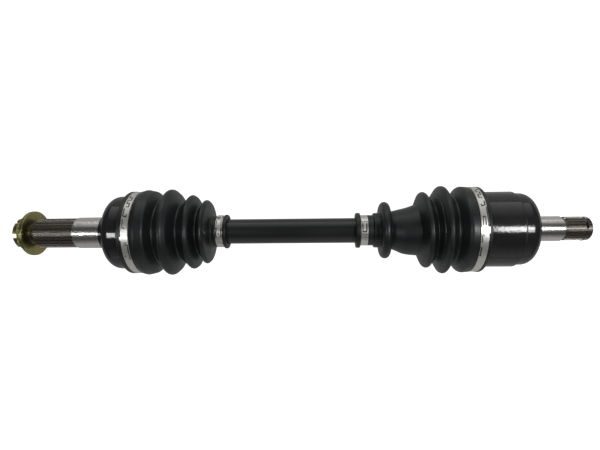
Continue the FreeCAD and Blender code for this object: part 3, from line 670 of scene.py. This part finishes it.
def inner_large_clamp_layers(width, hook_start):
    """The same kind of clamp with a longer window before its hook."""
    steps = locking_steps(hook_start - 41.5, 3.9, 4, width)
    claw = stroke([
        (-24.6, 0.2 * width), (-20.6, 0.2 * width), (-19.6, 0.62 * width), (-21.6, 0.7 * width),
    ], 0.8)
    seam = stroke([(-19.0, 0.12 * width), (hook_start - 0.6, 0.12 * width)], 0.7)
    window = stroke([
        (-3.4, 0.42 * width), (-10.6, 0.42 * width), (-10.6, 0.74 * width), (-3.4, 0.74 * width),
    ], 0.7)
    first_slot = stroke([(4.4, 0.6 * width), (4.6, 0.84 * width), (10.2, 0.84 * width)], 0.8)
    second_slot = stroke([(14.0, 0.84 * width), (22.0, 0.84 * width), (22.0, 0.6 * width)], 0.75)
    tail = box_loop(hook_start - 49.0, hook_start + 0.6, 0.25, width - 0.25, 0.6)
    return [
        (0.0, BAND_THICKNESS, None, [steps, claw, seam, window, first_slot, second_slot], 0),
        (BAND_THICKNESS + 0.02, 0.4, tail, [steps, claw, seam, window], 0),
        (BAND_THICKNESS + 0.05, 0.9, hook_loop(hook_start, width, 4.6, 2.4), [], 1),
    ]


def outer_small_clamp_layers(width):
    """A short clamp: its tail steps down to a tongue with a hole."""
    gap = box_loop(-13.2, -12.2, 0.16 * width, 0.84 * width, 0.4)
    left_line = stroke([(-10.6, 0.16 * width), (-5.2, 0.16 * width)], 0.5)
    right_line = stroke([(-10.6, 0.84 * width), (-5.2, 0.84 * width)], 0.5)
    left_step = box_loop(-4.4, 5.0, 0.05 * width, 0.23 * width, 0.2)
    right_step = box_loop(-4.4, 5.0, 0.80 * width, 0.95 * width, 0.2)
    hole = box_loop(1.0, 2.2, 0.4 * width, 0.6 * width, 0.5)
    seam = stroke([(8.6, 0.3 * width), (9.4, 0.3 * width), (9.4, 0.86 * width)], 0.7)
    tongue = [
        (-11.6, 0.3, 0.4), (-3.6, 0.3, 0.3), (-3.0, 0.26 * width, 0.3), (4.6, 0.26 * width, 0.8),
        (4.6, 0.8 * width, 0.8), (-3.0, 0.8 * width, 0.3), (-3.6, width - 0.3, 0.3),
        (-11.6, width - 0.3, 0.4),
    ]
    bulge = box_loop(11.0, 16.6, 0.5, width + 0.3, 1.0)
    bump = box_loop(-19.0, -14.2, 0.5, width - 0.5, 1.0)
    return [
        (0.0, BAND_THICKNESS, None, [gap, left_line, right_line, left_step, right_step, hole, seam], 0),
        (BAND_THICKNESS + 0.02, 0.45, tongue, [left_line, right_line, hole], 0),
        (BAND_THICKNESS + 0.02, 0.5, bulge, [], 0),
        (BAND_THICKNESS + 0.02, 0.9, bump, [], 0),
    ]


def inner_small_clamp_layers(width):
    """A short clamp: a block, a window with a tongue in it, and a small hook."""
    window = stroke([(-6.2, 0.22 * width), (0.4, 0.22 * width), (0.9, 0.3 * width), (0.9, 0.7 * width),
                     (0.4, 0.78 * width), (-6.2, 0.78 * width)], 0.8)
    block = box_loop(-13.0, -7.4, 0.1, width - 0.1, 0.5)
    tail = box_loop(-17.0, 2.2, 0.3, width - 0.3, 0.5)
    edge = stroke([(2.8, 0.1 * width), (3.4, 0.9 * width)], 0.4)
    hook = [(6.2, 0.3 * width, 0.3), (8.6, 0.62 * width, 0.3), (6.2, 0.8 * width, 0.3)]
    return [
        (0.0, BAND_THICKNESS, None, [window, edge], 0),
        (BAND_THICKNESS + 0.02, 0.4, tail, [window], 0),
        (BAND_THICKNESS + 0.4, 0.6, block, [], 1),
        (BAND_THICKNESS + 0.02, 0.8, hook, [], 1),
    ]


def make_clamps(finishes):
    """Every clamp fits its CAD node's place; the gearbox-side ones face the other way."""
    places = {}
    sizes = ("_large_clamp", "_small_clamp")
    nodes = [boot + size for boot in ("outer_boot", "inner_boot") for size in sizes]
    for node in nodes:
        low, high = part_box(node)
        places[node] = (low[0] * 1000.0, (high[0] - low[0]) * 1000.0)
    large_radius = 36.2
    start, width = places["outer_boot_large_clamp"]
    make_clamp("outer_large_band", "outer_boot_large_clamp", "outer_joint", start, large_radius, width,
               large_clamp_layers(width, 3.0), finishes)
    start, width = places["inner_boot_large_clamp"]
    make_clamp("inner_large_band", "inner_boot_large_clamp", "inner_joint", start, large_radius, width,
               inner_large_clamp_layers(width, -2.3), finishes, flip=True)
    start, width = places["outer_boot_small_clamp"]
    make_clamp("outer_small_band", "outer_boot_small_clamp", "shaft", start, 13.5, width,
               outer_small_clamp_layers(width), finishes)
    start, width = places["inner_boot_small_clamp"]
    make_clamp("inner_small_band", "inner_boot_small_clamp", "shaft", start, 12.85, width,
               inner_small_clamp_layers(width), finishes)


# ---- Materials of the CAD parts ----------------------------------------------------------


def paint_frame(node, material):
    """Gives a CAD node one material in every slot."""
    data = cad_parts[node].data
    if not data.materials:
        data.materials.append(material)
    for index in range(len(data.materials)):
        data.materials[index] = material


def dress_frame():
    journal = (0.60, 0.59, 0.57)
    outer = painted_forging("outer_forging", (-25.0, 0.0), (-80.0, -25.0), journal, (4.2, 5.4))
    inner = painted_forging("inner_forging", (375.2, 402.0), (402.0, 430.0), journal, (359.0, 360.5))
    paint_frame("outer_bell_stub", outer)
    paint_frame("inner_housing_stub", inner)
    paint_frame("intermediate_shaft", satin_bar())
    zinc = yellow_zinc()
    paint_frame("hub_nut", zinc)
    paint_frame("hub_washer", zinc)
    ball = steel("ball_steel", (0.62, 0.62, 0.64), 0.06, 0.12)
    race = steel("race_steel", (0.45, 0.44, 0.43), 0.2, 0.32)
    spring = steel("spring_steel_dark", (0.20, 0.18, 0.165), 0.28, 0.4)
    for end in ("outer", "inner"):
        for number in range(1, 7):
            paint_frame(f"{end}_ball_{number}", ball)
        paint_frame(f"{end}_inner_race", race)
        paint_frame(f"{end}_cage", race)
        paint_frame(f"{end}_race_circlip", spring)
    paint_frame("inner_retaining_ring", spring)
    paint_frame("inner_stub_circlip", spring)


add_camera()
add_floor()
add_lights()
dress_frame()
make_boots(boot_rubber())
make_clamps([
    steel("band_steel", (0.86, 0.85, 0.80), 0.36, 0.50),
    steel("hook_steel", (0.74, 0.73, 0.70), 0.30, 0.40),
])

bpy.context.view_layer.update()
